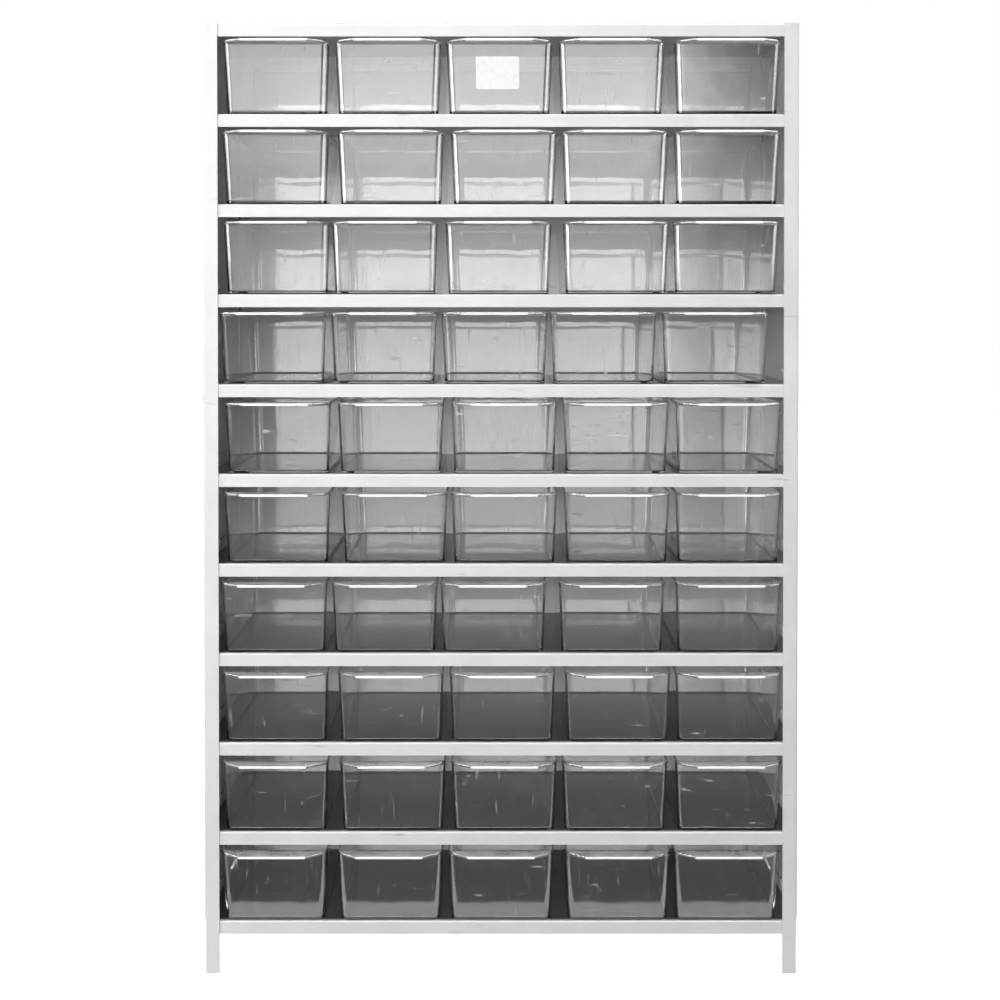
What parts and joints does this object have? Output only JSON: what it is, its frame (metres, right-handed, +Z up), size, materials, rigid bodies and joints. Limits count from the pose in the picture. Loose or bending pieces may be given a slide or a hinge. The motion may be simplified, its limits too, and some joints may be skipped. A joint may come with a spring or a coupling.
{
  "type": "parts bin cabinet",
  "caption": "Tall, shallow steel rack of folded shelves on four angle posts, filled with rows of clear plastic pull-out bins that have drafted walls and a tapering pull lip.",
  "frame": {"origin": "middle of the footprint, on the floor the legs stand on", "axes": "+Z up, the bins face -Y, +X to the right for someone facing the bins"},
  "size_m": [0.604, 0.1944, 0.967],
  "materials": {
    "powder_coat": "satin",
    "clear_plastic": "gloss"
  },
  "bodies": {
    "rack": {"front_left_post": "powder_coat", "front_right_post": "powder_coat", "rear_left_post": "powder_coat", "rear_right_post": "powder_coat", "left_side_panel": "powder_coat", "right_side_panel": "powder_coat", "back_panel": "powder_coat", "top_panel": "powder_coat", "shelves": "powder_coat"},
    "bin_r01_c1": {"bin_r01_c1": "clear_plastic"},
    "bin_r01_c2": {"bin_r01_c2": "clear_plastic"},
    "bin_r01_c3": {"bin_r01_c3": "clear_plastic"},
    "bin_r01_c4": {"bin_r01_c4": "clear_plastic"},
    "bin_r01_c5": {"bin_r01_c5": "clear_plastic"},
    "bin_r02_c1": {"bin_r02_c1": "clear_plastic"},
    "bin_r02_c2": {"bin_r02_c2": "clear_plastic"},
    "bin_r02_c3": {"bin_r02_c3": "clear_plastic"},
    "bin_r02_c4": {"bin_r02_c4": "clear_plastic"},
    "bin_r02_c5": {"bin_r02_c5": "clear_plastic"},
    "bin_r03_c1": {"bin_r03_c1": "clear_plastic"},
    "bin_r03_c2": {"bin_r03_c2": "clear_plastic"},
    "bin_r03_c3": {"bin_r03_c3": "clear_plastic"},
    "bin_r03_c4": {"bin_r03_c4": "clear_plastic"},
    "bin_r03_c5": {"bin_r03_c5": "clear_plastic"},
    "bin_r04_c1": {"bin_r04_c1": "clear_plastic"},
    "bin_r04_c2": {"bin_r04_c2": "clear_plastic"},
    "bin_r04_c3": {"bin_r04_c3": "clear_plastic"},
    "bin_r04_c4": {"bin_r04_c4": "clear_plastic"},
    "bin_r04_c5": {"bin_r04_c5": "clear_plastic"},
    "bin_r05_c1": {"bin_r05_c1": "clear_plastic"},
    "bin_r05_c2": {"bin_r05_c2": "clear_plastic"},
    "bin_r05_c3": {"bin_r05_c3": "clear_plastic"},
    "bin_r05_c4": {"bin_r05_c4": "clear_plastic"},
    "bin_r05_c5": {"bin_r05_c5": "clear_plastic"},
    "bin_r06_c1": {"bin_r06_c1": "clear_plastic"},
    "bin_r06_c2": {"bin_r06_c2": "clear_plastic"},
    "bin_r06_c3": {"bin_r06_c3": "clear_plastic"},
    "bin_r06_c4": {"bin_r06_c4": "clear_plastic"},
    "bin_r06_c5": {"bin_r06_c5": "clear_plastic"},
    "bin_r07_c1": {"bin_r07_c1": "clear_plastic"},
    "bin_r07_c2": {"bin_r07_c2": "clear_plastic"},
    "bin_r07_c3": {"bin_r07_c3": "clear_plastic"},
    "bin_r07_c4": {"bin_r07_c4": "clear_plastic"},
    "bin_r07_c5": {"bin_r07_c5": "clear_plastic"},
    "bin_r08_c1": {"bin_r08_c1": "clear_plastic"},
    "bin_r08_c2": {"bin_r08_c2": "clear_plastic"},
    "bin_r08_c3": {"bin_r08_c3": "clear_plastic"},
    "bin_r08_c4": {"bin_r08_c4": "clear_plastic"},
    "bin_r08_c5": {"bin_r08_c5": "clear_plastic"},
    "bin_r09_c1": {"bin_r09_c1": "clear_plastic"},
    "bin_r09_c2": {"bin_r09_c2": "clear_plastic"},
    "bin_r09_c3": {"bin_r09_c3": "clear_plastic"},
    "bin_r09_c4": {"bin_r09_c4": "clear_plastic"},
    "bin_r09_c5": {"bin_r09_c5": "clear_plastic"},
    "bin_r10_c1": {"bin_r10_c1": "clear_plastic"},
    "bin_r10_c2": {"bin_r10_c2": "clear_plastic"},
    "bin_r10_c3": {"bin_r10_c3": "clear_plastic"},
    "bin_r10_c4": {"bin_r10_c4": "clear_plastic"},
    "bin_r10_c5": {"bin_r10_c5": "clear_plastic"}
  },
  "joints": [
    {"name": "bin_r01_c1_slide", "type": "slide", "parent": "rack", "child": "bin_r01_c1", "axis": [0, -1, 0], "range_m": [0, 0.17]},
    {"name": "bin_r01_c2_slide", "type": "slide", "parent": "rack", "child": "bin_r01_c2", "axis": [0, -1, 0], "range_m": [0, 0.17]},
    {"name": "bin_r01_c3_slide", "type": "slide", "parent": "rack", "child": "bin_r01_c3", "axis": [0, -1, 0], "range_m": [0, 0.17]},
    {"name": "bin_r01_c4_slide", "type": "slide", "parent": "rack", "child": "bin_r01_c4", "axis": [0, -1, 0], "range_m": [0, 0.17]},
    {"name": "bin_r01_c5_slide", "type": "slide", "parent": "rack", "child": "bin_r01_c5", "axis": [0, -1, 0], "range_m": [0, 0.17]},
    {"name": "bin_r02_c1_slide", "type": "slide", "parent": "rack", "child": "bin_r02_c1", "axis": [0, -1, 0], "range_m": [0, 0.17]},
    {"name": "bin_r02_c2_slide", "type": "slide", "parent": "rack", "child": "bin_r02_c2", "axis": [0, -1, 0], "range_m": [0, 0.17]},
    {"name": "bin_r02_c3_slide", "type": "slide", "parent": "rack", "child": "bin_r02_c3", "axis": [0, -1, 0], "range_m": [0, 0.17]},
    {"name": "bin_r02_c4_slide", "type": "slide", "parent": "rack", "child": "bin_r02_c4", "axis": [0, -1, 0], "range_m": [0, 0.17]},
    {"name": "bin_r02_c5_slide", "type": "slide", "parent": "rack", "child": "bin_r02_c5", "axis": [0, -1, 0], "range_m": [0, 0.17]},
    {"name": "bin_r03_c1_slide", "type": "slide", "parent": "rack", "child": "bin_r03_c1", "axis": [0, -1, 0], "range_m": [0, 0.17]},
    {"name": "bin_r03_c2_slide", "type": "slide", "parent": "rack", "child": "bin_r03_c2", "axis": [0, -1, 0], "range_m": [0, 0.17]},
    {"name": "bin_r03_c3_slide", "type": "slide", "parent": "rack", "child": "bin_r03_c3", "axis": [0, -1, 0], "range_m": [0, 0.17]},
    {"name": "bin_r03_c4_slide", "type": "slide", "parent": "rack", "child": "bin_r03_c4", "axis": [0, -1, 0], "range_m": [0, 0.17]},
    {"name": "bin_r03_c5_slide", "type": "slide", "parent": "rack", "child": "bin_r03_c5", "axis": [0, -1, 0], "range_m": [0, 0.17]},
    {"name": "bin_r04_c1_slide", "type": "slide", "parent": "rack", "child": "bin_r04_c1", "axis": [0, -1, 0], "range_m": [0, 0.17]},
    {"name": "bin_r04_c2_slide", "type": "slide", "parent": "rack", "child": "bin_r04_c2", "axis": [0, -1, 0], "range_m": [0, 0.17]},
    {"name": "bin_r04_c3_slide", "type": "slide", "parent": "rack", "child": "bin_r04_c3", "axis": [0, -1, 0], "range_m": [0, 0.17]},
    {"name": "bin_r04_c4_slide", "type": "slide", "parent": "rack", "child": "bin_r04_c4", "axis": [0, -1, 0], "range_m": [0, 0.17]},
    {"name": "bin_r04_c5_slide", "type": "slide", "parent": "rack", "child": "bin_r04_c5", "axis": [0, -1, 0], "range_m": [0, 0.17]},
    {"name": "bin_r05_c1_slide", "type": "slide", "parent": "rack", "child": "bin_r05_c1", "axis": [0, -1, 0], "range_m": [0, 0.17]},
    {"name": "bin_r05_c2_slide", "type": "slide", "parent": "rack", "child": "bin_r05_c2", "axis": [0, -1, 0], "range_m": [0, 0.17]},
    {"name": "bin_r05_c3_slide", "type": "slide", "parent": "rack", "child": "bin_r05_c3", "axis": [0, -1, 0], "range_m": [0, 0.17]},
    {"name": "bin_r05_c4_slide", "type": "slide", "parent": "rack", "child": "bin_r05_c4", "axis": [0, -1, 0], "range_m": [0, 0.17]},
    {"name": "bin_r05_c5_slide", "type": "slide", "parent": "rack", "child": "bin_r05_c5", "axis": [0, -1, 0], "range_m": [0, 0.17]},
    {"name": "bin_r06_c1_slide", "type": "slide", "parent": "rack", "child": "bin_r06_c1", "axis": [0, -1, 0], "range_m": [0, 0.17]},
    {"name": "bin_r06_c2_slide", "type": "slide", "parent": "rack", "child": "bin_r06_c2", "axis": [0, -1, 0], "range_m": [0, 0.17]},
    {"name": "bin_r06_c3_slide", "type": "slide", "parent": "rack", "child": "bin_r06_c3", "axis": [0, -1, 0], "range_m": [0, 0.17]},
    {"name": "bin_r06_c4_slide", "type": "slide", "parent": "rack", "child": "bin_r06_c4", "axis": [0, -1, 0], "range_m": [0, 0.17]},
    {"name": "bin_r06_c5_slide", "type": "slide", "parent": "rack", "child": "bin_r06_c5", "axis": [0, -1, 0], "range_m": [0, 0.17]},
    {"name": "bin_r07_c1_slide", "type": "slide", "parent": "rack", "child": "bin_r07_c1", "axis": [0, -1, 0], "range_m": [0, 0.17]},
    {"name": "bin_r07_c2_slide", "type": "slide", "parent": "rack", "child": "bin_r07_c2", "axis": [0, -1, 0], "range_m": [0, 0.17]},
    {"name": "bin_r07_c3_slide", "type": "slide", "parent": "rack", "child": "bin_r07_c3", "axis": [0, -1, 0], "range_m": [0, 0.17]},
    {"name": "bin_r07_c4_slide", "type": "slide", "parent": "rack", "child": "bin_r07_c4", "axis": [0, -1, 0], "range_m": [0, 0.17]},
    {"name": "bin_r07_c5_slide", "type": "slide", "parent": "rack", "child": "bin_r07_c5", "axis": [0, -1, 0], "range_m": [0, 0.17]},
    {"name": "bin_r08_c1_slide", "type": "slide", "parent": "rack", "child": "bin_r08_c1", "axis": [0, -1, 0], "range_m": [0, 0.17]},
    {"name": "bin_r08_c2_slide", "type": "slide", "parent": "rack", "child": "bin_r08_c2", "axis": [0, -1, 0], "range_m": [0, 0.17]},
    {"name": "bin_r08_c3_slide", "type": "slide", "parent": "rack", "child": "bin_r08_c3", "axis": [0, -1, 0], "range_m": [0, 0.17]},
    {"name": "bin_r08_c4_slide", "type": "slide", "parent": "rack", "child": "bin_r08_c4", "axis": [0, -1, 0], "range_m": [0, 0.17]},
    {"name": "bin_r08_c5_slide", "type": "slide", "parent": "rack", "child": "bin_r08_c5", "axis": [0, -1, 0], "range_m": [0, 0.17]},
    {"name": "bin_r09_c1_slide", "type": "slide", "parent": "rack", "child": "bin_r09_c1", "axis": [0, -1, 0], "range_m": [0, 0.17]},
    {"name": "bin_r09_c2_slide", "type": "slide", "parent": "rack", "child": "bin_r09_c2", "axis": [0, -1, 0], "range_m": [0, 0.17]},
    {"name": "bin_r09_c3_slide", "type": "slide", "parent": "rack", "child": "bin_r09_c3", "axis": [0, -1, 0], "range_m": [0, 0.17]},
    {"name": "bin_r09_c4_slide", "type": "slide", "parent": "rack", "child": "bin_r09_c4", "axis": [0, -1, 0], "range_m": [0, 0.17]},
    {"name": "bin_r09_c5_slide", "type": "slide", "parent": "rack", "child": "bin_r09_c5", "axis": [0, -1, 0], "range_m": [0, 0.17]},
    {"name": "bin_r10_c1_slide", "type": "slide", "parent": "rack", "child": "bin_r10_c1", "axis": [0, -1, 0], "range_m": [0, 0.17]},
    {"name": "bin_r10_c2_slide", "type": "slide", "parent": "rack", "child": "bin_r10_c2", "axis": [0, -1, 0], "range_m": [0, 0.17]},
    {"name": "bin_r10_c3_slide", "type": "slide", "parent": "rack", "child": "bin_r10_c3", "axis": [0, -1, 0], "range_m": [0, 0.17]},
    {"name": "bin_r10_c4_slide", "type": "slide", "parent": "rack", "child": "bin_r10_c4", "axis": [0, -1, 0], "range_m": [0, 0.17]},
    {"name": "bin_r10_c5_slide", "type": "slide", "parent": "rack", "child": "bin_r10_c5", "axis": [0, -1, 0], "range_m": [0, 0.17]}
  ]
}
